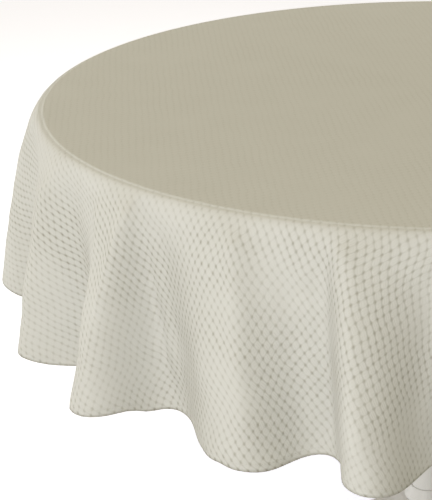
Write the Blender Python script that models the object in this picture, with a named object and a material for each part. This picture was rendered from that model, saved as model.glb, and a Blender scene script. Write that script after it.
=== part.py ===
"""A round tablecloth draped over a round pedestal table.

Metres, +Z up. The origin is on the floor, under the middle of the table. Azimuth 0 faces -Y and
grows towards +X. The cloth is one thin shell with its folds hanging open below the table's edge.
"""

import bisect
import math

import bmesh
import bpy
from mathutils import Matrix, Vector

# Clearances between neighbours
GAP = 0.0003            # between faces that touch on the real table
THREAD_GAP = 0.0004     # round a screw, a stud or the tie rod

# Table top
TABLE_HEIGHT = 0.762
TABLE_RADIUS = 0.5842
CORE_THICKNESS = 0.0245
LAMINATE_THICKNESS = 0.0012
LIPPING_WIDTH = 0.014
LIPPING_ROUND = 0.0045

# Tablecloth
CLOTH_DIAMETER = 1.778
CLOTH_THICKNESS = 0.0016
EDGE_EASE = 0.0009      # between the table's edge and the cloth that hangs round it
CREST_FLARE = 0.295     # how far a usual fold stands out at the hem, for each metre that hangs
VALLEY_FLARE = 0.030    # how far the cloth between two folds stands out there
FLARE_RATE = 2.0        # how quickly a fold opens below the rim
FOLD_SQUARENESS = 0.42  # 0 is a plain wave, 1 has upright walls

# Each fold's valley on its left, its crest, and its flare as a share of the usual one
FOLDS = (
    (-94.0, -83.0, 0.97), (-70.5, -58.5, 0.91), (-50.0, -41.5, 1.08), (-32.5, -19.5, 1.04),
    (-12.3, -5.6, 1.16), (1.2, 12.0, 0.97), (22.5, 33.0, 1.05), (43.0, 52.0, 0.93),
    (61.5, 71.0, 1.02), (81.0, 92.0, 0.96), (102.0, 110.0, 1.03), (119.5, 130.0, 1.09),
    (140.5, 150.0, 0.97), (160.0, 171.0, 1.12), (181.0, 190.5, 1.08), (200.5, 210.0, 0.94),
    (219.5, 230.0, 1.05), (241.5, 254.0, 1.10),
)
FOLD_STEPS = 8          # points round one fold
SKIRT_STEPS = 6         # points down the skirt
BEND_STEPS = 3

# Spider plate under the top
SPIDER_HUB_RADIUS = 0.042
SPIDER_HUB_HEIGHT = 0.034
SPIDER_ARM_LENGTH = 0.230
SPIDER_ARM_WIDTH = 0.036
SPIDER_ARM_THICKNESS = 0.007
SCREW_PLACES = (0.125, 0.205)   # distances from the middle
SCREW_RADIUS = 0.0025
SCREW_LENGTH = 0.022
SCREW_HEAD_RADIUS = 0.0050
SCREW_HEAD_HEIGHT = 0.0030

# Column and the rod that clamps it
COLUMN_RADIUS = 0.025
COLUMN_WALL = 0.002
COLLAR_RADIUS = 0.037
COLLAR_HEIGHT = 0.020
ROD_RADIUS = 0.005
NUT_FLATS = 0.017
NUT_HEIGHT = 0.008
WASHER_RADIUS = 0.011
WASHER_THICKNESS = 0.002
NUT_SPARE = 0.003       # room beyond the nut inside its pocket

# Cross base
BASE_HUB_RADIUS = 0.046
BASE_HUB_HEIGHT = 0.046
BASE_SPREAD = 0.430     # middle to the end of a foot
BASE_ARM_WIDTH = 0.042
FOOT_WIDTH = 0.036
FOOT_HEIGHT = 0.034
ARCH_RISE = 0.012       # how much higher the underside is at the hub than at a foot
ARM_COUNT = 4
ARM_TURN = math.radians(25)

# Levelling glides
GLIDE_INSET = 0.024     # from the end of a foot to the glide's axis
PAD_RADIUS = 0.016
PAD_THICKNESS = 0.006
HEX_FLATS = 0.013
HEX_HEIGHT = 0.005
STUD_RADIUS = 0.004
STUD_LENGTH = 0.024     # above its hexagon

# Heights that follow from the sizes above
FOOT_BOTTOM = PAD_THICKNESS + HEX_HEIGHT + 2 * GAP
HUB_BOTTOM = FOOT_BOTTOM + ARCH_RISE
HUB_TOP = HUB_BOTTOM + BASE_HUB_HEIGHT
CORE_TOP = TABLE_HEIGHT - LAMINATE_THICKNESS - GAP
CORE_BOTTOM = CORE_TOP - CORE_THICKNESS
SPIDER_TOP = CORE_BOTTOM - GAP
SPIDER_BOTTOM = SPIDER_TOP - SPIDER_HUB_HEIGHT
CORE_RADIUS = TABLE_RADIUS - LIPPING_WIDTH - GAP
POCKET_RADIUS = WASHER_RADIUS + 0.0015
POCKET_DEPTH = WASHER_THICKNESS + NUT_HEIGHT + 2 * GAP + NUT_SPARE

ROUND_SEGMENTS = 72     # large discs
TURNED_SEGMENTS = 24    # small turned pieces


# ---- helpers -------------------------------------------------------------------------------

def clear_scene():
    for obj in list(bpy.data.objects):
        bpy.data.objects.remove(obj, do_unlink=True)


def material(name, color, roughness, metallic=0.0):
    mat = bpy.data.materials.new(name)
    mat.use_nodes = True
    shader = mat.node_tree.nodes["Principled BSDF"]
    shader.inputs["Base Color"].default_value = (*color, 1.0)
    shader.inputs["Roughness"].default_value = roughness
    shader.inputs["Metallic"].default_value = metallic
    return mat


def add_object(name, bm, mat=None, smooth_angle=0.6):
    mesh = bpy.data.meshes.new(name)
    bmesh.ops.recalc_face_normals(bm, faces=bm.faces)
    bm.to_mesh(mesh)
    bm.free()
    mesh.shade_smooth()
    mesh.set_sharp_from_angle(angle=smooth_angle)
    obj = bpy.data.objects.new(name, mesh)
    bpy.context.collection.objects.link(obj)
    if mat:
        mesh.materials.append(mat)
    return obj


def turned(profile, segments=TURNED_SEGMENTS):
    """A closed solid from (radius, height) points; a profile that starts and ends at radius 0
    is solid in the middle, any other one is a ring."""
    bm = bmesh.new()
    verts = [bm.verts.new((radius, 0, height)) for radius, height in profile]
    edges = [bm.edges.new(pair) for pair in zip(verts, verts[1:])]
    if profile[0][0] > 0:
        edges.append(bm.edges.new((verts[-1], verts[0])))
    bmesh.ops.spin(bm, geom=verts + edges, cent=(0, 0, 0), axis=(0, 0, 1), angle=math.tau,
                   steps=segments, use_merge=True)
    bmesh.ops.remove_doubles(bm, verts=bm.verts, dist=1e-6)
    return bm


def prism(radius, low, high, segments=TURNED_SEGMENTS):
    bm = bmesh.new()
    bmesh.ops.create_cone(bm, cap_ends=True, segments=segments, radius1=radius, radius2=radius,
                          depth=high - low)
    bmesh.ops.translate(bm, verts=bm.verts, vec=(0, 0, (low + high) / 2))
    return bm


def cut(obj, name, bm, place=(0, 0, 0)):
    """Cuts a hidden helper solid out of an object."""
    cutter = add_object(name, bm)
    cutter.location = place
    cutter.hide_render = True
    cutter.display_type = "WIRE"
    boolean = obj.modifiers.new(name, "BOOLEAN")
    boolean.operation = "DIFFERENCE"
    boolean.object = cutter


def around(radius, index):
    """A point on the given circle in the direction of one of the arms."""
    angle = ARM_TURN + index * math.tau / ARM_COUNT
    return Vector((radius * math.cos(angle), radius * math.sin(angle), 0))


def arc(centre, radius, start, end, steps):
    """Points on an arc in the (radius, height) plane, both ends included, angles in degrees."""
    turns = [math.radians(start + (end - start) * i / steps) for i in range(steps + 1)]
    return [(centre[0] + radius * math.cos(t), centre[1] + radius * math.sin(t)) for t in turns]


# ---- tablecloth ----------------------------------------------------------------------------

def fold_at(azimuth):
    """The fold's phase (0 on its crest, pi in a valley), span and flare share at an azimuth."""
    first = FOLDS[0][0]
    azimuth = first + (azimuth - first) % 360
    k = bisect.bisect_right([fold[0] for fold in FOLDS], azimuth) - 1
    valley, crest, share = FOLDS[k]
    following = FOLDS[(k + 1) % len(FOLDS)][0] + (360 if k + 1 == len(FOLDS) else 0)
    half = crest - valley if azimuth < crest else following - crest
    phase = math.pi * (azimuth - crest) / half
    return phase, math.radians(2 * half), share


def plan_point(azimuth, below, skirt, rim):
    """Where the cloth hangs, seen from above, at a length below the rim."""
    phase, span, share = fold_at(azimuth)
    opening = (1 - math.exp(-FLARE_RATE * below / skirt)) / (1 - math.exp(-FLARE_RATE))
    crest = (1 + math.cos(phase)) / 2
    reach = share * CREST_FLARE * crest + VALLEY_FLARE * (1 - crest)
    radius = rim + opening * reach * skirt
    squared = FOLD_SQUARENESS * opening * span / (4 * math.pi) * math.sin(2 * phase)
    angle = math.radians(azimuth) + squared
    return Vector((radius * math.sin(angle), -radius * math.cos(angle)))


def cloth_columns():
    """Lines of points from the rim to the hem, one for each azimuth round the table. Every
    stretch keeps its length, so a crest, which stands out more, ends higher than a valley."""
    inner = TABLE_RADIUS + EDGE_EASE - LIPPING_ROUND - GAP
    bend = LIPPING_ROUND + GAP + CLOTH_THICKNESS
    rim = inner + bend
    top = TABLE_HEIGHT + GAP + CLOTH_THICKNESS
    skirt = CLOTH_DIAMETER / 2 - inner - bend * math.pi / 2
    azimuths = []
    for k, (valley, crest, _) in enumerate(FOLDS):
        following = FOLDS[(k + 1) % len(FOLDS)][0] + (360 if k + 1 == len(FOLDS) else 0)
        steps = FOLD_STEPS // 2
        azimuths += [valley + (crest - valley) * i / steps for i in range(steps)]
        azimuths += [crest + (following - crest) * i / steps for i in range(steps)]
    columns = []
    for azimuth in azimuths:
        out = Vector((math.sin(math.radians(azimuth)), -math.cos(math.radians(azimuth))))
        turn = arc((inner, top - bend), bend, 90, 0, BEND_STEPS)
        column = [Vector((*(out * radius), height)) for radius, height in turn]
        step = skirt / SKIRT_STEPS
        for i in range(1, SKIRT_STEPS + 1):
            plan = plan_point(azimuth, i * step, skirt, rim)
            sideways = (plan - column[-1].xy).length
            drop = math.sqrt(max(step ** 2 - sideways ** 2, 0))
            column.append(Vector((*plan, column[-1].z - drop)))
        columns.append(column)
    return columns


def make_tablecloth():
    """The outer face of the cloth, ring by ring from the flat top to the hem, then thickened."""
    columns = cloth_columns()
    bm = bmesh.new()
    ring = [bm.verts.new(column[0]) for column in columns]
    bm.faces.new(ring)
    edges = [bm.edges.get(pair) for pair in zip(ring, ring[1:] + ring[:1])]
    for level in range(1, len(columns[0])):
        grown = bmesh.ops.extrude_edge_only(bm, edges=edges)["geom"]
        place = {tuple(vert.co): column[level] for vert, column in zip(ring, columns)}
        fresh = {tuple(v.co): v for v in grown if isinstance(v, bmesh.types.BMVert)}
        ring = [fresh[tuple(vert.co)] for vert in ring]
        for vert in ring:
            vert.co = place[tuple(vert.co)]
        edges = [bm.edges.get(pair) for pair in zip(ring, ring[1:] + ring[:1])]
    cloth = add_object("tablecloth", bm, material("ivory_weave", (0.72, 0.69, 0.59), 0.9))
    shell = cloth.modifiers.new("thickness", "SOLIDIFY")
    shell.thickness = CLOTH_THICKNESS
    shell.offset = -1
    return cloth


# ---- table top -----------------------------------------------------------------------------

def make_top():
    core = add_object("core_board", prism(CORE_RADIUS, CORE_BOTTOM, CORE_TOP, ROUND_SEGMENTS),
                      material("chipboard", (0.55, 0.42, 0.27), 0.8))
    add_object("top_laminate", prism(CORE_RADIUS, CORE_TOP + GAP, TABLE_HEIGHT, ROUND_SEGMENTS),
               material("laminate", (0.80, 0.79, 0.76), 0.35))
    inner = CORE_RADIUS + GAP
    outer = TABLE_RADIUS - LIPPING_ROUND
    profile = [(inner, TABLE_HEIGHT), *arc((outer, TABLE_HEIGHT - LIPPING_ROUND),
                                           LIPPING_ROUND, 90, 0, 3)]
    profile += arc((outer, CORE_BOTTOM + LIPPING_ROUND), LIPPING_ROUND, 0, -90, 3)
    profile.append((inner, CORE_BOTTOM))
    add_object("edge_lipping", turned(profile, ROUND_SEGMENTS),
               material("beech", (0.62, 0.44, 0.26), 0.5))
    return core


def screw_profile():
    """A pan head under the arm, and a shank with a short point in the board."""
    head_top = SPIDER_TOP - SPIDER_ARM_THICKNESS - GAP
    tip = head_top + SCREW_LENGTH
    low = head_top - SCREW_HEAD_HEIGHT
    return [(0, low), (SCREW_HEAD_RADIUS * 0.7, low),
            (SCREW_HEAD_RADIUS, low + SCREW_HEAD_HEIGHT * 0.45), (SCREW_HEAD_RADIUS, head_top),
            (SCREW_RADIUS, head_top), (SCREW_RADIUS, tip - SCREW_RADIUS * 1.6), (0, tip)]


def make_screws(core, spider):
    steel = material("zinc_screw", (0.62, 0.61, 0.58), 0.35, 1.0)
    hole = SCREW_RADIUS + THREAD_GAP
    tip = SPIDER_TOP - SPIDER_ARM_THICKNESS + SCREW_LENGTH
    number = 0
    for arm in range(ARM_COUNT):
        for distance in SCREW_PLACES:
            number += 1
            place = around(distance, arm)
            screw = add_object(f"top_screw_{number}", turned(screw_profile(), 12), steel)
            screw.location = place
            for obj, low, high in ((core, CORE_BOTTOM - 0.01, tip + 0.001),
                                   (spider, SPIDER_BOTTOM, SPIDER_TOP + 0.01)):
                cut(obj, f"cut_{obj.name}_{number}", prism(hole, low, high, 12), place)


# ---- spider, column and rod ----------------------------------------------------------------

def cross(hub_radius, low, high, stations):
    """A hub with four arms. Each station is (distance, half width, bottom, top) of an arm."""
    bm = prism(hub_radius, low, high, 2 * ARM_COUNT)
    bmesh.ops.rotate(bm, verts=bm.verts, matrix=Matrix.Rotation(math.pi / 8, 3, "Z"))
    sides = [face for face in bm.faces
             if max(abs(face.normal.x), abs(face.normal.y)) > 0.99]
    for face in sides:
        out = face.normal.copy()
        across = Vector((-out.y, out.x, 0))
        grown = face
        for distance, half_width, bottom, top in stations:
            fresh = bmesh.ops.extrude_discrete_faces(bm, faces=[grown])["faces"][0]
            middle = fresh.calc_center_median()
            for vert in fresh.verts:
                side = math.copysign(half_width, (vert.co - middle).dot(across))
                height = top if vert.co.z > middle.z else bottom
                vert.co = out * distance + across * side + Vector((0, 0, height))
            grown = fresh
    bmesh.ops.rotate(bm, verts=bm.verts, matrix=Matrix.Rotation(ARM_TURN, 3, "Z"))
    return bm


def make_spider():
    half = SPIDER_ARM_WIDTH / 2
    low = SPIDER_TOP - SPIDER_ARM_THICKNESS
    stations = ((SPIDER_HUB_RADIUS * 1.5, half, low, SPIDER_TOP),
                (SPIDER_ARM_LENGTH - half * 0.7, half, low, SPIDER_TOP),
                (SPIDER_ARM_LENGTH, half * 0.5, low, SPIDER_TOP))
    spider = add_object("spider_plate", cross(SPIDER_HUB_RADIUS, SPIDER_BOTTOM, SPIDER_TOP,
                                              stations),
                        material("black_iron", (0.03, 0.03, 0.032), 0.55, 0.6))
    cut(spider, "cut_spider_rod", prism(ROD_RADIUS + THREAD_GAP, SPIDER_BOTTOM - 0.01,
                                        SPIDER_TOP + 0.01))
    cut(spider, "cut_spider_pocket", prism(POCKET_RADIUS, SPIDER_TOP - POCKET_DEPTH,
                                           SPIDER_TOP + 0.01))
    return spider


def make_column():
    white = material("white_powder_coat", (0.80, 0.80, 0.79), 0.4)
    low = HUB_TOP + GAP
    high = SPIDER_BOTTOM - GAP
    inner = COLUMN_RADIUS - COLUMN_WALL
    add_object("column_tube", turned([(inner, low), (COLUMN_RADIUS, low),
                                      (COLUMN_RADIUS, high), (inner, high)], 40), white)
    hole = COLUMN_RADIUS + GAP
    add_object("column_collar",
               turned([(hole, low), (COLLAR_RADIUS, low),
                       (COLLAR_RADIUS, low + COLLAR_HEIGHT * 0.25),
                       (hole + 0.005, low + COLLAR_HEIGHT * 0.85),
                       (hole + 0.003, low + COLLAR_HEIGHT), (hole, low + COLLAR_HEIGHT)], 40),
               white)


def make_rod_and_nuts():
    steel = material("zinc_rod", (0.60, 0.60, 0.60), 0.35, 1.0)
    bottom_seat = HUB_BOTTOM + POCKET_DEPTH
    top_seat = SPIDER_TOP - POCKET_DEPTH
    reach = WASHER_THICKNESS + NUT_HEIGHT + 2 * GAP + NUT_SPARE / 2
    add_object("tie_rod", prism(ROD_RADIUS, bottom_seat - reach, top_seat + reach, 24), steel)
    hole = ROD_RADIUS + THREAD_GAP
    for name, seat, way in (("lower", bottom_seat, -1), ("upper", top_seat, 1)):
        first = seat + way * GAP
        second = first + way * WASHER_THICKNESS
        low, high = sorted((first, second))
        add_object(f"{name}_washer", turned([(hole, low), (WASHER_RADIUS, low),
                                             (WASHER_RADIUS, high), (hole, high)]), steel)
        first = second + way * GAP
        low, high = sorted((first, first + way * NUT_HEIGHT))
        nut = add_object(f"{name}_nut", prism(NUT_FLATS / math.sqrt(3), low, high, 6), steel)
        cut(nut, f"cut_{name}_nut", prism(hole, low - 0.01, high + 0.01, 24))


# ---- base and glides -----------------------------------------------------------------------

def make_base():
    half = BASE_ARM_WIDTH / 2
    foot = FOOT_WIDTH / 2
    foot_top = FOOT_BOTTOM + FOOT_HEIGHT
    glide = BASE_SPREAD - GLIDE_INSET
    shoulder = (glide - foot * 1.3 + BASE_HUB_RADIUS) / 2
    stations = ((BASE_HUB_RADIUS * 1.25, half, HUB_BOTTOM, HUB_TOP - 0.004),
                (shoulder, (half + foot) / 2, HUB_BOTTOM - ARCH_RISE * 0.4,
                 (HUB_TOP + foot_top) / 2),
                (glide - foot * 1.3, foot, FOOT_BOTTOM, foot_top),
                (glide + foot * 0.5, foot, FOOT_BOTTOM, foot_top - 0.001),
                (BASE_SPREAD, foot * 0.55, FOOT_BOTTOM, foot_top - 0.006))
    base = add_object("cross_base", cross(BASE_HUB_RADIUS, HUB_BOTTOM, HUB_TOP, stations),
                      material("white_iron", (0.78, 0.78, 0.77), 0.45))
    cut(base, "cut_base_rod", prism(ROD_RADIUS + THREAD_GAP, HUB_BOTTOM - 0.01, HUB_TOP + 0.01))
    cut(base, "cut_base_pocket", prism(POCKET_RADIUS, HUB_BOTTOM - 0.01,
                                       HUB_BOTTOM + POCKET_DEPTH))
    depth = FOOT_BOTTOM + STUD_LENGTH + 0.002
    for arm in range(ARM_COUNT):
        cut(base, f"cut_stud_{arm}", prism(STUD_RADIUS + THREAD_GAP, FOOT_BOTTOM - 0.01, depth,
                                           16), around(glide, arm))


def make_glides():
    """Each glide is a round pad on the floor and a stud that turns in it, with a hexagon that
    takes the spanner. The stud screws into the foot above."""
    plastic = material("grey_plastic", (0.30, 0.30, 0.30), 0.6)
    steel = material("zinc_stud", (0.62, 0.61, 0.60), 0.35, 1.0)
    hex_low = PAD_THICKNESS + GAP
    hex_high = hex_low + HEX_HEIGHT
    socket = STUD_RADIUS + GAP
    socket_floor = PAD_THICKNESS * 0.4
    for arm in range(ARM_COUNT):
        axis = bpy.data.objects.new(f"glide_axis_{arm + 1}", None)
        axis.location = around(BASE_SPREAD - GLIDE_INSET, arm)
        bpy.context.collection.objects.link(axis)
        pad = add_object(f"glide_pad_{arm + 1}",
                         turned([(0, 0), (PAD_RADIUS - 0.001, 0), (PAD_RADIUS, 0.001),
                                 (PAD_RADIUS, PAD_THICKNESS * 0.5),
                                 (PAD_RADIUS * 0.75, PAD_THICKNESS), (socket, PAD_THICKNESS),
                                 (socket, socket_floor), (0, socket_floor)], 24), plastic)
        stud = add_object(f"glide_stud_{arm + 1}",
                          prism(HEX_FLATS / math.sqrt(3), hex_low, hex_high, 6), steel)
        shank = add_object(f"shank_{arm + 1}", prism(STUD_RADIUS, socket_floor + GAP,
                                                     hex_high + STUD_LENGTH, 16))
        shank.hide_render = True
        shank.display_type = "WIRE"
        joined = stud.modifiers.new("shank", "BOOLEAN")
        joined.operation = "UNION"
        joined.object = shank
        for obj in (pad, stud, shank):
            obj.parent = axis


def main():
    clear_scene()
    core = make_top()
    spider = make_spider()
    make_screws(core, spider)
    make_column()
    make_rod_and_nuts()
    make_base()
    make_glides()
    make_tablecloth()


main()
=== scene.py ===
"""Drapes a round basket-weave tablecloth over a pedestal table and finishes the table under it.

Metres, +Z up, in the frame of the solid model. Azimuth 0 faces -Y and grows towards +X.
"""

import math

import bmesh
import bpy
import numpy as np
from mathutils import Matrix, Vector


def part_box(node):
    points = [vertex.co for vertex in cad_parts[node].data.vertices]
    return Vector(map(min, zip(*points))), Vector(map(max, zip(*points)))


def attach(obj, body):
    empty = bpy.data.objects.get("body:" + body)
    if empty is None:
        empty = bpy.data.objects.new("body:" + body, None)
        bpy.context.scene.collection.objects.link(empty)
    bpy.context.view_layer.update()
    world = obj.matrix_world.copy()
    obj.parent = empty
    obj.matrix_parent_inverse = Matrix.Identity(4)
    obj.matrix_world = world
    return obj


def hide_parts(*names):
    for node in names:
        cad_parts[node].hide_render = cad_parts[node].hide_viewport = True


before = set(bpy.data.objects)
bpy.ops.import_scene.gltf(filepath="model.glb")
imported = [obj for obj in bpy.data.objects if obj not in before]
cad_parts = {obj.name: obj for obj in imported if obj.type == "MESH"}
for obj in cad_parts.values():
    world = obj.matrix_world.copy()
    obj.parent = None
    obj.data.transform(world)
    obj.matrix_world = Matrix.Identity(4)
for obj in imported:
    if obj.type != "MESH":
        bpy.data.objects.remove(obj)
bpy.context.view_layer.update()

bl_info = {
    "name": "Table Linen",
    "version": (1, 0, 0),
    "blender": (4, 5, 0),
    "location": "View3D > Sidebar > Table Linen",
    "description": "Drapes a round cloth over a pedestal table and finishes the table under it",
    "category": "Object",
}

# ---- sizes read from the solid model --------------------------------------------------------

TOP_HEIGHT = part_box("top_laminate")[1][2]
TABLE_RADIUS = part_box("edge_lipping")[1][0]

# ---- the cloth as it was cut and as it hangs ------------------------------------------------

CLOTH_DIAMETER = 1.778
LIPPING_ROUND = 0.0045  # radius of the rounding on the table's upper edge
CLOTH_EASE = 0.0012     # from the table's edge to the outer face of cloth hung straight down
TOP_GAP = 0.0004        # from the table's top to the inner face of the cloth
MOST_LEAN = 0.75        # sine of the greatest lean with which the cloth leaves the rim

BIAS_GIVE = 0.037       # how much longer the cloth hangs where its threads run crosswise
BIAS_AZIMUTH = -24.0    # azimuth of one of the four places where they do

# Each fold: its valley on the left (azimuth at the hem, how far it stands out there, and how
# many degrees further round it starts at the rim), the same for its crest, and how upright its
# left and right sides are at the hem
FOLDS = (
    (-94.0, 0.000, 0.0, -83.0, 0.087, 0.0, 0.80, 0.50),
    (-70.9, -0.008, 0.0, -57.4, 0.084, 0.0, 0.20, 0.00),
    (-51.3, -0.003, 0.0, -40.9, 0.099, 3.5, 0.30, 0.80),
    (-34.9, -0.016, -1.7, -20.2, 0.078, -4.5, 0.05, 0.35),
    (-12.4, -0.006, -1.8, -5.8, 0.115, -3.0, 0.45, 0.25),
    (2.3, -0.009, -0.2, 12.6, 0.088, 1.5, 0.60, 0.80),
    (22.5, -0.004, 1.0, 33.0, 0.094, -2.0, 0.90, 0.70),
    (43.0, 0.004, 0.0, 52.0, 0.083, 2.5, 0.80, 0.50),
    (61.5, -0.012, -1.5, 71.0, 0.091, -1.0, 0.30, 0.40),
    (81.0, -0.006, 0.5, 92.0, 0.088, 3.0, 0.60, 0.90),
    (102.0, 0.002, 1.0, 110.0, 0.092, 0.0, 0.90, 0.60),
    (119.5, -0.010, -1.0, 130.0, 0.099, -3.5, 0.50, 0.40),
    (140.5, -0.012, 0.0, 150.0, 0.090, 1.0, 0.40, 0.30),
    (160.0, -0.007, 1.5, 171.0, 0.103, 3.5, 0.40, 0.60),
    (181.0, 0.002, -0.5, 190.5, 0.090, -1.5, 0.70, 0.90),
    (200.5, -0.005, 1.0, 210.0, 0.084, 2.0, 0.90, 0.60),
    (219.5, -0.009, -1.0, 230.0, 0.097, -2.5, 0.50, 0.70),
    (241.5, 0.000, 0.0, 254.0, 0.095, 0.0, 0.60, 0.80),
)

# Each crease: its azimuth at the rim and at the hem, the shares of the drop where it starts and
# ends, its half width in degrees, and how far it stands out before CREASE_SCALE (a furrow lies
# below zero)
CREASES = (
    (-58.0, -51.5, 0.10, 0.90, 2.0, 0.0030),
    (-44.0, -41.0, 0.08, 0.80, 1.4, 0.0020),
    (-37.2, -40.4, 0.05, 0.94, 1.6, 0.0035),
    (-35.7, -34.0, 0.10, 0.85, 1.2, 0.0025),
    (-22.6, -18.6, 0.05, 0.94, 1.6, 0.0042),
    (-14.7, -12.9, 0.10, 0.90, 1.3, 0.0025),
    (-11.7, -11.0, 0.06, 0.96, 0.9, -0.0032),
    (-10.1, -6.5, 0.05, 0.94, 1.4, 0.0030),
    (-9.2, -9.2, 0.10, 0.35, 0.8, -0.0020),
)
CREASE_SCALE = 1.8      # of how far all the creases stand out
CREASE_FADE = 0.12      # share of the drop over which a crease begins or ends
MORE_CREASES = 24       # drawn from a fixed seed, for the rest of the table
CREASE_SWAY = 4         # degrees that each of those may stray at its rim and again at its hem

RIPPLES = 14            # slight waves all over the skirt, drawn from a fixed seed
RIPPLE_LENGTHS = (0.035, 0.11)
RIPPLE_HEIGHT = 0.0035  # of a wave, as a share of its length
RIPPLE_START = 0.15     # share of the drop over which the waves begin


# ---- settings -------------------------------------------------------------------------------

class ClothSettings(bpy.types.PropertyGroup):
    """The sizes and colours of the tablecloth."""

    thickness: bpy.props.FloatProperty(
        name="Thickness", description="Thickness of the woven cloth",
        default=0.0009, min=0.0003, max=0.002, precision=4, unit="LENGTH")
    fold_rate: bpy.props.FloatProperty(
        name="Fold Rate", description="How quickly the folds open below the rim",
        default=0.82, min=0.1, max=4.0)
    fold_start: bpy.props.FloatProperty(
        name="Fold Start", description="Share of the drop that hangs smooth before it folds",
        default=0.087, min=0.0, max=0.5)
    shoulder: bpy.props.FloatProperty(
        name="Shoulder", description="How far the cloth swells out before it turns down",
        default=0.0165, min=0.0, max=0.04, precision=4, unit="LENGTH")
    shoulder_drop: bpy.props.FloatProperty(
        name="Shoulder Drop", description="Share of the drop in which it swells out",
        default=0.043, min=0.02, max=0.3)
    squareness: bpy.props.FloatProperty(
        name="Squareness", description="Scales how upright the sides of the folds stand",
        default=1.0, min=0.0, max=1.2)
    cell: bpy.props.FloatProperty(
        name="Weave Cell", description="Width of one square of the basket weave",
        default=0.0094, min=0.002, max=0.03, precision=4, unit="LENGTH")
    weave_turn: bpy.props.FloatProperty(
        name="Weave Turn", description="Direction of the weave on the flat cloth",
        default=math.radians(20.5), unit="ROTATION")
    weave_pull: bpy.props.FloatProperty(
        name="Weave Pull", description="How far the hanging cloth pulls its threads out of square",
        default=math.radians(18.0), unit="ROTATION")
    hem_width: bpy.props.FloatProperty(
        name="Hem Width", description="Width of the turned hem",
        default=0.011, min=0.004, max=0.04, precision=4, unit="LENGTH")
    stitch: bpy.props.FloatProperty(
        name="Stitch", description="Thickness of the thread that sews the hem",
        default=0.0007, min=0.0003, max=0.002, precision=4, unit="LENGTH")
    yarn_color: bpy.props.FloatVectorProperty(
        name="Yarn", description="Colour of the raised yarns",
        default=(0.655, 0.660, 0.645), subtype="COLOR", min=0.0, max=1.0)
    # the weave's painted shade mixes towards this colour, and the thread's random twist darkens
    # towards it
    shade_color: bpy.props.FloatVectorProperty(
        name="Yarn Shade", description="Colour between the yarns",
        default=(0.310, 0.300, 0.250), subtype="COLOR", min=0.0, max=1.0)


class TableSettings(bpy.types.PropertyGroup):
    """The colours of the table under the cloth."""

    wood_color: bpy.props.FloatVectorProperty(
        name="Beech", description="Colour of the solid wood lipping",
        default=(0.55, 0.36, 0.19), subtype="COLOR", min=0.0, max=1.0)
    coat_color: bpy.props.FloatVectorProperty(
        name="Powder Coat", description="Colour of the column and the base",
        default=(0.80, 0.80, 0.78), subtype="COLOR", min=0.0, max=1.0)
    iron_color: bpy.props.FloatVectorProperty(
        name="Iron", description="Colour of the plate under the top",
        default=(0.030, 0.030, 0.032), subtype="COLOR", min=0.0, max=1.0)


class StudioSettings(bpy.types.PropertyGroup):
    """The camera and the studio."""

    focal_length: bpy.props.FloatProperty(
        name="Focal Length", description="Focal length of the camera on a 36 mm sensor",
        default=108.0, min=20.0, max=300.0)
    floor_color: bpy.props.FloatVectorProperty(
        name="Floor", description="Colour of the pale studio floor",
        default=(0.92, 0.92, 0.92), subtype="COLOR", min=0.0, max=1.0)
    front_power: bpy.props.FloatProperty(
        name="Front Lamp", description="Power of the soft lamp beside the camera",
        default=29.5, min=0.0, max=1000.0)
    high_power: bpy.props.FloatProperty(
        name="High Lamp", description="Power of the soft lamp above the camera",
        default=4.0, min=0.0, max=1000.0)
    left_power: bpy.props.FloatProperty(
        name="Left Lamp", description="Power of the soft lamp on the left",
        default=27.0, min=0.0, max=1000.0)
    rear_power: bpy.props.FloatProperty(
        name="Rear Lamp", description="Power of the soft lamp behind the table",
        default=24.0, min=0.0, max=1000.0)
    horizon_color: bpy.props.FloatVectorProperty(
        name="Horizon", description="Light at eye level from the bright side",
        default=(1.36, 1.36, 1.36), subtype="COLOR", min=0.0, max=2.0)
    dim_color: bpy.props.FloatVectorProperty(
        name="Dim Side", description="Light at eye level from the side across from it",
        default=(0.08, 0.075, 0.06), subtype="COLOR", min=0.0, max=2.0)
    overhead_color: bpy.props.FloatVectorProperty(
        name="Overhead", description="Light from above",
        default=(0.535, 0.445, 0.222), subtype="COLOR", min=0.0, max=1.0)
    sky_strength: bpy.props.FloatProperty(
        name="Sky", description="Scales the light from all round and from above",
        default=1.0, min=0.0, max=3.0)
    floor_glow: bpy.props.FloatVectorProperty(
        name="Floor Glow", description="What keeps the floor white where little light falls",
        default=(0.52, 0.54, 0.64), subtype="COLOR", min=0.0, max=1.0)

    def lamps(self):
        """Name, azimuth and height in degrees, and power of each soft lamp."""
        return (("front_lamp", -15, 20, self.front_power),
                ("high_lamp", -15, 50, self.high_power),
                ("left_lamp", -110, 20, self.left_power),
                ("rear_lamp", 160, 20, self.rear_power))


# ---- material maths -------------------------------------------------------------------------

class Socket:
    """One output in a finish. Its operators add the Math nodes."""

    def __init__(self, finish, output):
        self.finish = finish
        self.output = output

    def maths(self, operation, *others):
        return self.finish.node("ShaderNodeMath", {"operation": operation}, (self, *others))

    def after(self, operation, first):
        return self.finish.node("ShaderNodeMath", {"operation": operation}, (first, self))

    def __add__(self, other):
        return self.maths("ADD", other)

    def __sub__(self, other):
        return self.maths("SUBTRACT", other)

    def __mul__(self, other):
        return self.maths("MULTIPLY", other)

    def __pow__(self, other):
        return self.maths("POWER", other)

    def __abs__(self):
        return self.maths("ABSOLUTE")

    def __rsub__(self, other):
        return self.after("SUBTRACT", other)

    __radd__ = __add__
    __rmul__ = __mul__


def rgba(color):
    return (*color, 1.0)


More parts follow.
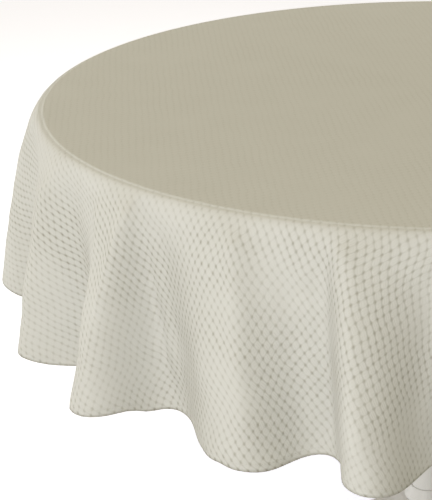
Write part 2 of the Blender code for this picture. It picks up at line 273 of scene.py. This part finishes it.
class Finish:
    """The nodes of a material or a world, and the one method that adds a node to them."""

    def __init__(self, owner, shader):
        owner.use_nodes = True
        self.tree = owner.node_tree
        self.shader = self.tree.nodes[shader]

    def set(self, name, value):
        """Gives one socket of the shader a value or a link."""
        self.feed(self.shader.inputs[name], value)

    def feed(self, socket, value):
        if isinstance(value, Socket):
            self.tree.links.new(value.output, socket)
        else:
            socket.default_value = value

    def node(self, kind, settings=None, inputs=(), output=0):
        """Adds a node: its settings first, then the values or links of its sockets."""
        made = self.tree.nodes.new(kind)
        for name, value in (settings or {}).items():
            if name == "stops":
                ramp = made.color_ramp.elements
                while len(ramp) < len(value):
                    ramp.new(1.0)
                for element, (place, color) in zip(ramp, value):
                    element.position = place
                    element.color = (*color, 1.0)
            else:
                setattr(made, name, value)
        pairs = inputs.items() if isinstance(inputs, dict) else enumerate(inputs)
        for name, value in pairs:
            self.feed(made.inputs[name], value)
        return Socket(self, made.outputs[output])

    def place(self, scale=(1.0, 1.0, 1.0), layer=None):
        """Coordinates for a pattern: the object's own, or those of a UV layer."""
        if layer:
            start = self.node("ShaderNodeUVMap", {"uv_map": layer})
        else:
            start = self.node("ShaderNodeTexCoord", output="Object")
        return self.node("ShaderNodeMapping", None, {"Vector": start, "Scale": scale})

    def along(self, vector, direction, spacing):
        """How many spacings a point lies along a direction."""
        unit = (math.cos(direction) / spacing, math.sin(direction) / spacing, 0.0)
        return self.node("ShaderNodeVectorMath", {"operation": "DOT_PRODUCT"}, (vector, unit),
                         "Value")

    def noise(self, vector, scale, detail=3.0, roughness=0.5):
        """Soft noise about 0.5, with so many features to the metre."""
        return self.node("ShaderNodeTexNoise", None,
                         {"Vector": vector, "Scale": scale, "Detail": detail,
                          "Roughness": roughness})

    def steps(self, value, low, high, start=0.0, end=1.0):
        """Start below low, end above high, and a smooth rise between them."""
        return self.node("ShaderNodeMapRange", {"interpolation_type": "SMOOTHSTEP"},
                         {"Value": value, "From Min": low, "From Max": high,
                          "To Min": start, "To Max": end})

    def mix(self, share, first, second):
        """Blends two colours."""
        return self.node("ShaderNodeMix", {"data_type": "RGBA"},
                         {0: share, 6: first, 7: second}, output=2)

    def bump(self, height, distance, strength):
        """Relief: the height of its ups and downs, and how strongly it shows."""
        self.set("Normal", self.node("ShaderNodeBump", None,
                                     {"Height": height, "Distance": distance,
                                      "Strength": strength}))


class Surface(Finish):
    """The finish of a piece, with the same look all over until patterns are set on it."""

    def __init__(self, name, color, roughness, metallic=0.0):
        self.material = bpy.data.materials.new(name)
        super().__init__(self.material, "Principled BSDF")
        self.set("Base Color", rgba(color))
        self.set("Roughness", roughness)
        self.set("Metallic", metallic)


# ---- finishes -------------------------------------------------------------------------------

FLAT_LAYER = "flat_cloth"       # UV layer: each point's place on the flat cloth, in metres
YARNS = 3                       # yarns that lie side by side in one square of the weave
YARN_GROOVE = 0.25              # depth between them, as a share of the square's height
SWAY = 0.9                      # how far the weave strays from straight, in squares
PIT = (0.05, 0.36)              # in squares, where the opening at a corner begins and ends
FURROW, GROOVE = 0.22, 0.16     # width of the two kinds of line between squares, in squares
HEM_SHADE = (0.0040, 0.0010)     # from the edge of the cloth, where painted shade darkens the hem's outer edge
TAUT_EDGE = (-0.02, 0.04)       # from the rim, where the weave's painted shade and relief grow as the cloth leaves the top
TAUT_SHOW = 0.18                # how much of the weave's painted shade and relief shows on the top, where it lies flat
WEAVE_RELIEF = 0.0008           # height of the squares


def weave_finish(cloth):
    """Ivory basket weave: squares of yarns that run over and under by turns, with a small opening
    where four squares meet. Painted shade darkens the openings, the lines between the squares
    and the gaps between the yarns, far less on the top, where the cloth lies flat on the table,
    and painted shade darkens the outer edge of the hem. It is laid out on the flat cloth, and its
    two directions lean towards each other as far as the hanging cloth has pulled them. In places
    it is worn smoother, and in others one direction shows more than the other."""
    finish = Surface("ivory_basket_weave", cloth.yarn_color, 0.92)
    cut = finish.place(layer=FLAT_LAYER)
    sway = finish.node("ShaderNodeTexNoise", None, {"Vector": cut, "Scale": 24.0, "Detail": 2.0},
                       "Color")
    sway = finish.node("ShaderNodeVectorMath", {"operation": "SCALE"},
                       {"Vector": sway, "Scale": SWAY * cloth.cell})
    flat = finish.node("ShaderNodeVectorMath", {"operation": "ADD"}, (cut, sway))
    across = finish.along(flat, cloth.weave_turn - cloth.weave_pull / 2, cloth.cell)
    along = finish.along(flat, cloth.weave_turn + cloth.weave_pull / 2 - math.pi / 2, cloth.cell)
    odd = (across.maths("FLOOR") + along.maths("FLOOR")).maths("MULTIPLY", 0.5)
    odd = odd.maths("FRACT") * 2
    first = across.maths("FRACT") - 0.5
    second = along.maths("FRACT") - 0.5
    side = second + (first - second) * odd
    length = first + (second - first) * odd
    yarn = abs((side * (math.pi * YARNS)).maths("COSINE"))
    rise = (1 - (abs(length) * 2) ** 3) * (1 - YARN_GROOVE + YARN_GROOVE * yarn)
    to_first = 0.5 - abs(first)
    to_second = 0.5 - abs(second)
    pit = finish.steps((to_first ** 2 + to_second ** 2).maths("SQRT"), *PIT, 1.0, 0.0)
    furrow = finish.steps(to_first, 0.0, FURROW, 1.0, 0.0)
    groove = finish.steps(to_second, 0.0, GROOVE, 1.0, 0.0)
    height = rise * (1 - pit) * (1 - 0.5 * furrow)

    away = finish.node("ShaderNodeVectorMath", {"operation": "LENGTH"}, (cut,), "Value")
    # painted shade along the outer edge of the hem
    hem_shade = finish.steps(away, *(CLOTH_DIAMETER / 2 - inset for inset in HEM_SHADE))
    # the weave's painted shade and relief show fully on the skirt and little on the top
    hanging = finish.steps(away, *(TABLE_RADIUS + past for past in TAUT_EDGE), TAUT_SHOW, 1.0)
    clear = finish.steps(finish.noise(flat, 9.0, 2.0), 0.32, 0.62, 0.45, 1.0)
    ribbed = finish.steps(finish.noise(flat, 6.0, 1.0), 0.40, 0.60)
    cloud = finish.noise(flat, 14.0, 4.0, 0.6)
    loose = finish.noise(flat, 1.1 / cloth.cell, 2.0)
    fibre = finish.noise(flat, 1600.0, 2.0)
    # painted shade in the lines between squares, the gaps between yarns and the openings; loose
    # adds random tone
    lines = furrow * (0.07 + 0.16 * ribbed) + groove * (0.10 - 0.06 * ribbed)
    shade = pit * (0.22 + 0.40 * loose) + lines + (1 - yarn) * 0.05 + loose * 0.08
    # the weave's painted shade, random tone from cloud, and painted shade along the hem's outer
    # edge
    painted_shade_and_tone = shade * clear * hanging + cloud * 0.10 + hem_shade * 0.30
    finish.set("Base Color", finish.mix(painted_shade_and_tone, rgba(cloth.yarn_color), rgba(cloth.shade_color)))
    finish.set("Roughness", 0.95 - 0.10 * height)
    finish.set("Sheen Weight", 0.05)
    finish.set("Sheen Roughness", 0.5)
    finish.set("Specular IOR Level", 0.15)
    finish.bump(height * hanging * clear + fibre * 0.12, WEAVE_RELIEF, 0.55)
    return finish.material


def thread_finish(cloth):
    """Spun sewing thread, a little brighter than the cloth."""
    color = tuple(min(1.0, 1.1 * part) for part in cloth.yarn_color)
    finish = Surface("sewing_thread", color, 0.8)
    twist = finish.noise(finish.place(), 2500.0, 2.0)
    finish.set("Base Color", finish.mix(twist * 0.5, rgba(color), rgba(cloth.shade_color)))
    finish.bump(twist, 0.0001, 0.6)
    return finish.material


def coat_finish(color):
    """Satin powder coat with its slight orange peel."""
    finish = Surface("white_powder_coat", color, 0.42)
    where = finish.place()
    peel = finish.noise(where, 900.0, 2.0)
    worn = finish.noise(where, 14.0, 4.0, 0.6)
    finish.set("Base Color", finish.mix(worn * 0.12, rgba(color), (0.62, 0.61, 0.58, 1.0)))
    finish.set("Roughness", 0.34 + 0.16 * worn)
    finish.bump(peel, 0.0002, 0.5)
    return finish.material


def iron_finish(color):
    """Black sand-cast iron."""
    finish = Surface("black_iron", color, 0.6, 0.4)
    where = finish.place()
    grit = finish.noise(where, 420.0, 3.0, 0.7)
    patch = finish.noise(where, 22.0, 4.0)
    finish.set("Base Color", finish.mix(patch * 0.5, rgba(color), (0.075, 0.07, 0.065, 1.0)))
    finish.set("Roughness", 0.5 + 0.25 * grit)
    finish.bump(grit, 0.0005, 0.6)
    return finish.material


def beech_finish(color):
    """Lacquered beech with its short dark flecks."""
    finish = Surface("beech", color, 0.45)
    where = finish.place((1.0, 1.0, 14.0))
    grain = finish.noise(where, 16.0, 6.0, 0.6)
    fleck = finish.steps(finish.noise(finish.place((1.0, 1.0, 4.0)), 260.0, 1.0), 0.60, 0.72)
    tone = finish.mix(grain, rgba(color), rgba(0.55 * part for part in color))
    finish.set("Base Color", finish.mix(fleck * 0.4, tone, (0.20, 0.11, 0.05, 1.0)))
    finish.set("Roughness", 0.38 + 0.2 * grain)
    finish.bump(grain, 0.0003, 0.4)
    return finish.material


def board_finish():
    """Raw chipboard: pressed chips of several browns."""
    finish = Surface("chipboard", (0.50, 0.37, 0.22), 0.85)
    where = finish.place((1.0, 1.0, 0.6))
    chips = finish.node("ShaderNodeTexVoronoi", None, {"Vector": where, "Scale": 170.0},
                        "Color")
    shade = finish.node("ShaderNodeSeparateColor", None, (chips,))
    ramp = finish.node("ShaderNodeValToRGB", {"stops": (
        (0.0, (0.30, 0.20, 0.11)), (0.45, (0.47, 0.34, 0.20)), (1.0, (0.62, 0.48, 0.31)))},
        (shade,))
    finish.set("Base Color", ramp)
    finish.set("Roughness", 0.78 + 0.15 * shade)
    finish.bump(shade, 0.0004, 0.5)
    return finish.material


def laminate_finish():
    """White laminate with a fine crystal surface."""
    finish = Surface("laminate", (0.78, 0.77, 0.74), 0.4)
    where = finish.place()
    grain = finish.noise(where, 650.0, 2.0)
    cloud = finish.noise(where, 5.0, 3.0)
    finish.set("Base Color", finish.mix(cloud * 0.15, (0.80, 0.79, 0.76, 1.0),
                                        (0.66, 0.64, 0.60, 1.0)))
    finish.set("Roughness", 0.33 + 0.2 * grain)
    finish.bump(grain, 0.0001, 0.5)
    return finish.material


def zinc_finish():
    """Bright zinc plate with faint spangle and dull spots."""
    finish = Surface("zinc_steel", (0.62, 0.61, 0.59), 0.35, 1.0)
    where = finish.place()
    spangle = finish.node("ShaderNodeTexVoronoi", None, {"Vector": where, "Scale": 420.0})
    dull = finish.noise(where, 160.0, 4.0)
    finish.set("Base Color", finish.mix(dull, (0.66, 0.65, 0.63, 1.0), (0.46, 0.45, 0.42, 1.0)))
    finish.set("Roughness", 0.26 + 0.22 * dull)
    finish.bump(spangle, 0.0001, 0.3)
    return finish.material


def plastic_finish():
    """Moulded grey plastic with a fine spark-eroded grain."""
    finish = Surface("grey_plastic", (0.22, 0.22, 0.22), 0.55)
    where = finish.place()
    grain = finish.noise(where, 1400.0, 2.0)
    scuff = finish.noise(where, 70.0, 5.0, 0.7)
    finish.set("Base Color", finish.mix(scuff * 0.5, (0.20, 0.20, 0.20, 1.0),
                                        (0.34, 0.33, 0.32, 1.0)))
    finish.set("Roughness", 0.45 + 0.25 * scuff)
    finish.bump(grain, 0.0002, 0.5)
    return finish.material


# ---- pieces ---------------------------------------------------------------------------------

def new_piece(name, bm, finish, body):
    """A finished mesh becomes a piece that rides on a body of the solid model."""
    mesh = bpy.data.meshes.new(name)
    bm.to_mesh(mesh)
    bm.free()
    mesh.shade_smooth()
    piece = bpy.data.objects.new(name, mesh)
    bpy.context.scene.collection.objects.link(piece)
    mesh.materials.append(finish)
    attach(piece, body)
    return piece


# ---- the drape ------------------------------------------------------------------------------

SPOKES = 720            # points round the cloth
TOP_RINGS = (0.10, 0.22, 0.34, 0.45, 0.53, 0.57)
BEND_RINGS = 7
SKIRT_RINGS = 46
SKIRT_SPREAD = 1.2      # above 1 the rings lie closer together below the rim
HEM_RISE = 0.0012       # length of cloth over which it thickens to the hem

# The rings of the hem, counted inwards from the edge of the cloth
FOLD_RING, SEAM_RING, MIDDLE_RING = -4, -3, -2

STITCH_INSET = 0.0018   # from the inner edge of the hem
STITCH_PITCH = 0.0040
STITCH_REACH = 0.40     # half a stitch's length, as a share of the pitch
STITCH_LIFT = 0.20      # how far its middle stands off the cloth, as a share of its thickness


def fold_values(azimuth, share):
    """For azimuths in degrees, at a share of the way up from the hem to the rim: the phase in
    the fold, 0 on its crest, the angle that a whole fold of that side would take, how far its
    crest and its valley stand out, and how upright its side is."""
    valley, low, valley_lead, crest, high, crest_lead, rising, falling = np.array(FOLDS).T
    valley = valley + share * valley_lead
    crest = crest + share * crest_lead
    azimuth = valley[0] + (azimuth - valley[0]) % 360
    k = np.searchsorted(valley, azimuth, side="right") - 1
    left = azimuth < crest[k]
    after = np.append(valley, valley[0] + 360)[k + 1]
    half = np.where(left, crest[k] - valley[k], after - crest[k])
    phase = np.pi * (azimuth - crest[k]) / half
    low = np.where(left, low[k], low[(k + 1) % len(FOLDS)])
    upright = np.where(left, rising[k], falling[k])
    return phase, np.radians(2 * half), high[k], low, upright


def smooth(value):
    """A smooth rise from 0 to 1."""
    value = np.clip(value, 0, 1)
    return value * value * (3 - 2 * value)


def all_creases():
    """The creases listed, and those drawn for the rest of the table."""
    draw = np.random.default_rng(11)
    drawn = []
    for azimuth in np.linspace(5, 255, MORE_CREASES):
        rim = azimuth + draw.uniform(-CREASE_SWAY, CREASE_SWAY)
        start = draw.uniform(0.04, 0.20)
        out = draw.choice((-0.7, 1.0)) * draw.uniform(0.002, 0.0035)
        hem = rim + draw.uniform(-CREASE_SWAY, CREASE_SWAY)
        end = start + draw.uniform(0.3, 0.95)
        drawn.append((rim, hem, start, end, draw.uniform(0.9, 1.9), out))
    return CREASES + tuple(drawn)


def creased(azimuth, below):
    """How far the creases stand out, at azimuths in degrees and a share of the drop."""
    total = np.zeros(len(azimuth))
    for rim, hem, start, end, width, out in all_creases():
        away = (azimuth - rim - (hem - rim) * below + 180) % 360 - 180
        fade = smooth((below - start) / CREASE_FADE)
        if end < 1:
            fade *= smooth((end - below) / CREASE_FADE)
        total += CREASE_SCALE * out * fade * np.exp(-(away / width) ** 2)
    return total


def rippled(azimuth, radius):
    """Slight waves on the flat cloth, the same each time."""
    draw = np.random.default_rng(5)
    x, y = radius * np.sin(np.radians(azimuth)), radius * np.cos(np.radians(azimuth))
    total = np.zeros(len(azimuth))
    for _ in range(RIPPLES):
        way, length = draw.uniform(0, math.tau), draw.uniform(*RIPPLE_LENGTHS)
        wave = (x * math.cos(way) + y * math.sin(way)) / length + draw.uniform()
        total += RIPPLE_HEIGHT * length * np.sin(math.tau * wave)
    return total


def hang(settings):
    """The cloth's bend over the rim: its radius, where it starts, its lean from upright where
    it ends, and the radius on the flat cloth there."""
    bend = LIPPING_ROUND + CLOTH_EASE
    inner = TABLE_RADIUS + CLOTH_EASE - bend
    drop = CLOTH_DIAMETER / 2 - TABLE_RADIUS
    lean = math.asin(min(settings.shoulder / (settings.shoulder_drop * drop), MOST_LEAN))
    return bend, inner, lean, inner + bend * (math.pi / 2 - lean)


def drape(radii, settings):
    """Points of the hanging cloth, one row for each radius on the flat cloth. Each row hangs as
    far below the one before it as the length of cloth between them reaches."""
    azimuth = np.arange(SPOKES) * 360 / SPOKES
    bend, inner, lean, free = hang(settings)
    give = 1 + BIAS_GIVE * (1 + np.cos(4 * np.radians(azimuth - BIAS_AZIMUTH))) / 2
    shoulder = settings.shoulder

    def opened(below):
        start = below ** 2 / (below ** 2 + settings.fold_start ** 2)
        return (1 - math.exp(-settings.fold_rate * below)) * start

    def bulged(below):
        return 1 - math.exp(-below / settings.shoulder_drop)

    rows = []
    for radius in radii:
        below = max(0.0, (radius - free) / (radii[-1] - free))
        phase, span, high, low, upright = fold_values(azimuth, 1 - below)
        crest = (1 + np.cos(phase)) / 2
        reach = high * crest + low * (1 - crest)
        opening = opened(below) / opened(1.0)
        bulge = shoulder * bulged(below) / bulged(1.0)
        angle = min(max(radius - inner, 0.0) / bend, math.pi / 2 - lean)
        plan = min(radius, inner) + bend * math.sin(angle) + bulge + (reach - shoulder) * opening
        twist = settings.squareness * upright * opening * below
        around = np.radians(azimuth) + twist * span / (4 * math.pi) * np.sin(2 * phase)
        plan += creased(np.degrees(around), below)
        plan += rippled(azimuth, radius) * smooth(below / RIPPLE_START)
        row = np.stack([plan * np.sin(around), -plan * np.cos(around),
                        np.full(SPOKES, bend * (math.cos(angle) - 1))], axis=1)
        if below > 0:
            step = (radius - before) * give
            moved = np.linalg.norm((row - rows[-1])[:, :2], axis=1)
            row[:, 2] = rows[-1][:, 2] - np.sqrt(np.clip(step ** 2 - moved ** 2, 0, None))
        rows.append(row)
        before = radius
    return [row + (0, 0, TOP_HEIGHT + TOP_GAP + settings.thickness) for row in rows]


def spread(rows):
    """Where each point of a ring lies round the flat cloth, in radians: in proportion to the
    length of the hanging ring up to it."""
    turns = []
    for row in rows:
        length = np.linalg.norm(np.roll(row, -1, axis=0) - row, axis=1)
        turn = math.tau * (np.cumsum(length) - length) / length.sum()
        turns.append(turn - np.mean(turn - np.arange(SPOKES) * math.tau / SPOKES))
    return turns


def flat_disc(radii):
    """The cut cloth, ring by ring from its middle."""
    bm = bmesh.new()
    bmesh.ops.create_circle(bm, cap_ends=True, cap_tris=True, segments=SPOKES, radius=radii[0])
    edges = [edge for edge in bm.edges if edge.is_boundary]
    for before, after in zip(radii, radii[1:]):
        grown = bmesh.ops.extrude_edge_only(bm, edges=edges)["geom"]
        verts = [item for item in grown if isinstance(item, bmesh.types.BMVert)]
        bmesh.ops.scale(bm, verts=verts, vec=(after / before, after / before, 1))
        edges = [item for item in grown if isinstance(item, bmesh.types.BMEdge)
                 and item.is_boundary]
    for face in bm.faces:
        if face.normal.z < 0:
            face.normal_flip()
    return bm


def ring_and_spoke(point, radii):
    """Which ring and which spoke a point of the flat cloth lies on."""
    ring = int(np.argmin(np.abs(radii - math.hypot(point.x, point.y))))
    turn = math.atan2(point.x, -point.y) / math.tau
    return ring, round(turn * SPOKES) % SPOKES


def cloth_radii(settings):
    """The rings of the flat cloth: the top, the bend, the skirt and the hem."""
    _, inner, _, free = hang(settings)
    edge = CLOTH_DIAMETER / 2
    flat = list(TOP_RINGS) + [inner]
    turn = [inner + (free - inner) * (i + 1) / BEND_RINGS for i in range(BEND_RINGS)]
    fold = edge - settings.hem_width
    skirt = fold - HEM_RISE - free
    down = [free + skirt * ((i + 1) / SKIRT_RINGS) ** SKIRT_SPREAD for i in range(SKIRT_RINGS)]
    hem = [fold, fold + STITCH_INSET, (fold + edge) / 2, edge]
    return np.array(flat + turn + down + hem)


def hung(rows, radii):
    """The cloth with every point where it hangs, and its place on the flat cloth in a UV layer.
    The second value is each point's distance from the middle of the flat cloth."""
    turns = spread(rows)
    bm = flat_disc(radii)
    layer = bm.loops.layers.uv.new(FLAT_LAYER)
    flat_radius = [vert.co.xy.length for vert in bm.verts]
    for vert in bm.verts:
        flat = Vector((0, 0))
        if vert.co.xy.length < radii[0] / 2:
            vert.co.z = rows[0][0][2]
        else:
            ring, spoke = ring_and_spoke(vert.co, radii)
            turn = turns[ring][spoke]
            flat = Vector((math.sin(turn), -math.cos(turn))) * radii[ring]
            vert.co = rows[ring][spoke]
        for loop in vert.link_loops:
            loop[layer].uv = flat
    return bm, flat_radius


def thicken(cloth, flat_radius, hem_start, thickness):
    """Gives the cloth its thickness inwards, and twice as much in the turned hem."""
    hem = cloth.vertex_groups.new(name="turned_hem")
    hem.add([vert.index for vert in cloth.data.vertices if flat_radius[vert.index] > hem_start],
            1.0, "REPLACE")
    wall = cloth.modifiers.new("thickness", "SOLIDIFY")
    wall.thickness = 2 * thickness
    wall.vertex_group = hem.name
    wall.thickness_vertex_group = 0.5
    wall.offset = -1


def sewn(rows, settings):
    """Short stitches end to end along the hem's inner edge, on the face of the cloth."""
    row = rows[SEAM_RING]
    ahead = np.roll(row, -1, axis=0) - row
    length = np.linalg.norm(ahead, axis=1)
    start = np.cumsum(length) - length
    count = round(length.sum() / STITCH_PITCH)
    places = np.arange(count) * length.sum() / count
    bm = bmesh.new()
    for k, place in zip(np.searchsorted(start, places, side="right") - 1, places):
        along = Vector(ahead[k] / length[k])
        up = Vector(rows[FOLD_RING][k] - rows[MIDDLE_RING][k]).normalized()
        out = along.cross(up).normalized()
        lift = out * settings.stitch * STITCH_LIFT
        middle = Vector(row[k]) + along * (place - start[k]) + lift
        axes = Matrix((along * STITCH_PITCH * STITCH_REACH, up * settings.stitch / 2,
                       out * settings.stitch / 2)).transposed().to_4x4()
        bmesh.ops.create_icosphere(bm, subdivisions=1, radius=1.0,
                                   matrix=Matrix.Translation(middle) @ axes)
    bmesh.ops.recalc_face_normals(bm, faces=bm.faces)
    return bm


# ---- operators ------------------------------------------------------------------------------

class LINEN_OT_cloth(bpy.types.Operator):
    """Drape the round basket-weave cloth over the table"""

    bl_idname = "linen.cloth"
    bl_label = "Tablecloth"

    def execute(self, context):
        settings = context.scene.linen_cloth
        radii = cloth_radii(settings)
        rows = drape(radii, settings)
        bm, flat_radius = hung(rows, radii)
        cloth = new_piece("draped_tablecloth", bm, weave_finish(settings), "cloth")
        thicken(cloth, flat_radius, radii[FOLD_RING - 1], settings.thickness)
        stitches = new_piece("hem_stitches", sewn(rows, settings), thread_finish(settings),
                             "cloth")
        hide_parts("tablecloth")
        return {"FINISHED"}


class LINEN_OT_table(bpy.types.Operator):
    """Finish the table's top, plate, screws and glides"""

    bl_idname = "linen.table"
    bl_label = "Table"

    def execute(self, context):
        settings = context.scene.linen_table
        zinc = zinc_finish()
        finishes = {
            "core_board": board_finish(),
            "top_laminate": laminate_finish(),
            "edge_lipping": beech_finish(settings.wood_color),
            "spider_plate": iron_finish(settings.iron_color),
        }
        coat = coat_finish(settings.coat_color)
        for name in ("column_tube", "column_collar", "cross_base"):
            finishes[name] = coat
        plastic = plastic_finish()
        for name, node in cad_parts.items():
            if name == "tablecloth":
                continue
            if name.startswith("glide_pad"):
                finishes[name] = plastic
            node.data.materials.clear()
            node.data.materials.append(finishes.get(name, zinc))
        return {"FINISHED"}


class LINEN_OT_studio(bpy.types.Operator):
    """Set up the camera, the pale floor and the soft light"""

    bl_idname = "linen.studio"
    bl_label = "Studio"

    def execute(self, context):
        settings = context.scene.linen_studio
        make_camera(context.scene, settings)
        make_floor(context.scene, settings)
        make_lights(context.scene, settings)
        return {"FINISHED"}


# ---- studio ---------------------------------------------------------------------------------

CAMERA_BACK = 2.177     # in front of the table's middle
CAMERA_ABOVE = 0.6135   # above the cloth
CAMERA_PAN = math.radians(-8.85)
CAMERA_TILT = math.radians(21.79)
CAMERA_ROLL = math.radians(-2.01)
LAMP_AIM = (0, 0, 0.62)     # a point in the middle of the cloth's drop
LAMP_DISTANCE = 3.2
LAMP_SIZE = 1.6
BRIGHT_SIDE = math.radians(-50.0)   # azimuth from which most light comes at eye level
# Heights in the sky, 0 on the horizon and 1 overhead, over which each light fades or grows
HORIZON_FADES = (0.15, 0.60)
OVERHEAD_GROWS = (0.35, 0.85)
FLOOR_REACH = 30.0      # half the floor's width
FLOOR_DROP = 0.0006     # below the glides
FLOOR_FILL = 0.03       # the floor's own light that falls on the cloth and the table


def make_camera(scene, settings):
    """A long lens in front of the table, turned a little to the left."""
    camera = bpy.data.objects.new("camera", bpy.data.cameras.new("camera"))
    camera.data.lens = settings.focal_length
    camera.data.sensor_width = 36.0
    scene.collection.objects.link(camera)
    ahead = Vector((math.sin(CAMERA_PAN) * math.cos(CAMERA_TILT),
                    math.cos(CAMERA_PAN) * math.cos(CAMERA_TILT), -math.sin(CAMERA_TILT)))
    level = Vector((math.cos(CAMERA_PAN), -math.sin(CAMERA_PAN), 0))
    upright = level.cross(ahead)
    right = level * math.cos(CAMERA_ROLL) + upright * math.sin(CAMERA_ROLL)
    up = upright * math.cos(CAMERA_ROLL) - level * math.sin(CAMERA_ROLL)
    turn = Matrix((right, up, -ahead)).transposed().to_4x4()
    place = Vector((0, -CAMERA_BACK, TOP_HEIGHT + CAMERA_ABOVE))
    camera.matrix_world = Matrix.Translation(place) @ turn
    scene.camera = camera


def make_floor(scene, settings):
    """A pale floor. Only the camera sees its glow, and the rest of the scene gets FLOOR_FILL."""
    bm = bmesh.new()
    bmesh.ops.create_grid(bm, x_segments=1, y_segments=1, size=FLOOR_REACH,
                          matrix=Matrix.Translation((0, 0, -FLOOR_DROP)))
    mesh = bpy.data.meshes.new("floor")
    bm.to_mesh(mesh)
    bm.free()
    floor = bpy.data.objects.new("floor", mesh)
    scene.collection.objects.link(floor)
    finish = Surface("pale_floor", settings.floor_color, 0.8)
    seen = finish.node("ShaderNodeLightPath", output="Is Camera Ray")
    finish.set("Emission Color", finish.mix(seen, rgba((FLOOR_FILL, FLOOR_FILL, FLOOR_FILL)),
                                            rgba(settings.floor_glow)))
    finish.set("Emission Strength", 1.0)
    mesh.materials.append(finish.material)


def soft_lamp(scene, name, azimuth, above, power):
    """A round lamp that points at the middle of the table, from angles in degrees."""
    lamp = bpy.data.lights.new(name, "AREA")
    lamp.shape = "DISK"
    lamp.size = LAMP_SIZE
    lamp.energy = power
    turn, rise = math.radians(azimuth), math.radians(above)
    way = Vector((math.sin(turn) * math.cos(rise), -math.cos(turn) * math.cos(rise),
                  math.sin(rise)))
    light = bpy.data.objects.new(name, lamp)
    scene.collection.objects.link(light)
    light.location = Vector(LAMP_AIM) + way * LAMP_DISTANCE
    light.rotation_euler = (-way).to_track_quat("-Z", "Y").to_euler()


def make_lights(scene, settings):
    """Soft lamps in front, on the left and behind, under a sky that is warm overhead and, round
    the horizon, brighter in front and on the left."""
    for lamp in settings.lamps():
        soft_lamp(scene, *lamp)
    scene.world = bpy.data.worlds.new("studio")
    sky = Finish(scene.world, "Background")
    way = sky.node("ShaderNodeTexCoord", output="Generated")
    height = sky.node("ShaderNodeSeparateXYZ", None, (way,), output="Z")
    toward = sky.along(way, BRIGHT_SIDE - math.pi / 2, 1.0)
    black = rgba((0.0, 0.0, 0.0))
    around = sky.mix(sky.steps(toward, -1.0, 1.0), rgba(settings.dim_color),
                     rgba(settings.horizon_color))
    low = sky.mix(sky.steps(height, *HORIZON_FADES), around, black)
    high = sky.mix(sky.steps(height, *OVERHEAD_GROWS), black, rgba(settings.overhead_color))
    sky.set("Color", sky.node("ShaderNodeVectorMath", {"operation": "ADD"}, (low, high)))
    sky.set("Strength", settings.sky_strength)
    scene.view_settings.view_transform = "Standard"


# ---- panel and registration -----------------------------------------------------------------

class LINEN_PT_panel(bpy.types.Panel):
    """Lists the settings and the operators"""

    bl_idname = "LINEN_PT_panel"
    bl_label = "Table Linen"
    bl_space_type = "VIEW_3D"
    bl_region_type = "UI"
    bl_category = "Table Linen"

    def draw(self, context):
        scene = context.scene
        for group in (scene.linen_cloth, scene.linen_table, scene.linen_studio):
            box = self.layout.box()
            for name in group.__annotations__:
                box.prop(group, name)
        for operator in OPERATORS:
            self.layout.operator(operator.bl_idname)


GROUPS = {"linen_cloth": ClothSettings, "linen_table": TableSettings,
          "linen_studio": StudioSettings}
OPERATORS = (LINEN_OT_studio, LINEN_OT_cloth, LINEN_OT_table)


def register():
    for group in GROUPS.values():
        bpy.utils.register_class(group)
    for name, group in GROUPS.items():
        setattr(bpy.types.Scene, name, bpy.props.PointerProperty(type=group))
    for operator in OPERATORS:
        bpy.utils.register_class(operator)
    bpy.utils.register_class(LINEN_PT_panel)


def unregister():
    bpy.utils.unregister_class(LINEN_PT_panel)
    for operator in reversed(OPERATORS):
        bpy.utils.unregister_class(operator)
    for name, group in GROUPS.items():
        delattr(bpy.types.Scene, name)
        bpy.utils.unregister_class(group)


def main():
    register()
    bpy.ops.linen.studio()
    bpy.ops.linen.cloth()
    bpy.ops.linen.table()


if __name__ == "__main__":
    main()
